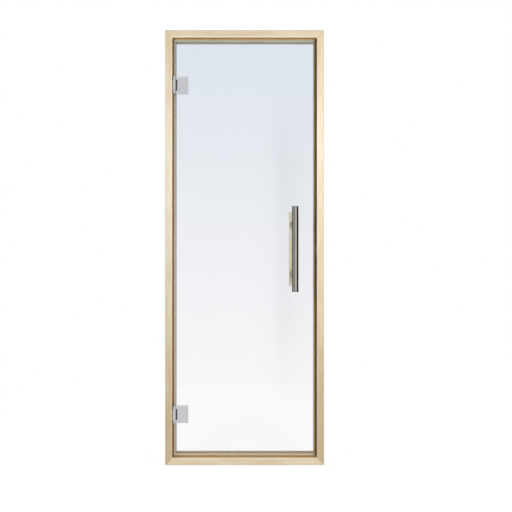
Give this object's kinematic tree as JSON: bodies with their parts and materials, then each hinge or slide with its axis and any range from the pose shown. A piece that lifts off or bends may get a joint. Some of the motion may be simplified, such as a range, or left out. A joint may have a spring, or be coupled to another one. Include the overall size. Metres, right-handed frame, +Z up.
{
  "type": "sauna door",
  "caption": "Framed glass sauna door: clear hinged leaf in a mitred timber frame, with clamp hinges, an outside tube pull and an inside wooden pull.",
  "frame": {"origin": "middle of the threshold's underside", "axes": "+Z up, -Y towards the outside of the sauna, where the leaf opens; the hinges are on the -X side"},
  "size_m": [0.69, 0.146, 1.89],
  "materials": {
    "pale_timber": "planed, unvarnished pale timber with fine straight grain",
    "clear_glass": "clear toughened glass with polished edges",
    "silicone_seal": "translucent grey silicone",
    "black_gasket": "black gasket sheet",
    "satin_chrome": "satin chrome plated",
    "brushed_steel": "brushed and polished stainless steel",
    "clear_nylon": "translucent nylon"
  },
  "bodies": {
    "frame": {"hinge_jamb": "pale_timber", "strike_jamb": "pale_timber", "head": "pale_timber", "threshold": "pale_timber", "seal_hinge_side": "silicone_seal", "seal_strike_side": "silicone_seal", "seal_top": "silicone_seal", "seal_bottom": "silicone_seal", "upper_hinge_jamb_leaf": "satin_chrome", "lower_hinge_jamb_leaf": "satin_chrome", "catch_body": "satin_chrome", "catch_roller": "clear_nylon"},
    "leaf": {"glass_pane": "clear_glass", "upper_hinge_front_plate": "satin_chrome", "upper_hinge_front_gasket": "black_gasket", "upper_hinge_back_gasket": "black_gasket", "upper_hinge_back_plate": "satin_chrome", "upper_hinge_pin": "satin_chrome", "lower_hinge_front_plate": "satin_chrome", "lower_hinge_front_gasket": "black_gasket", "lower_hinge_back_gasket": "black_gasket", "lower_hinge_back_plate": "satin_chrome", "lower_hinge_pin": "satin_chrome", "outer_handle_tube": "brushed_steel", "outer_handle_cap_top": "brushed_steel", "outer_handle_cap_bottom": "brushed_steel", "inner_handle_bar": "pale_timber", "outer_handle_post_upper": "brushed_steel", "outer_handle_washer_upper": "clear_nylon", "inner_handle_post_upper": "brushed_steel", "inner_handle_washer_upper": "clear_nylon", "handle_stud_upper": "brushed_steel", "outer_handle_post_lower": "brushed_steel", "outer_handle_washer_lower": "clear_nylon", "inner_handle_post_lower": "brushed_steel", "inner_handle_washer_lower": "clear_nylon", "handle_stud_lower": "brushed_steel"}
  },
  "joints": [
    {"name": "door_swing", "type": "hinge", "parent": "frame", "child": "leaf", "pos_m": [-0.3055, -0.0249, 0.945], "axis": [0, 0, -1], "range_deg": [0, 110]}
  ]
}
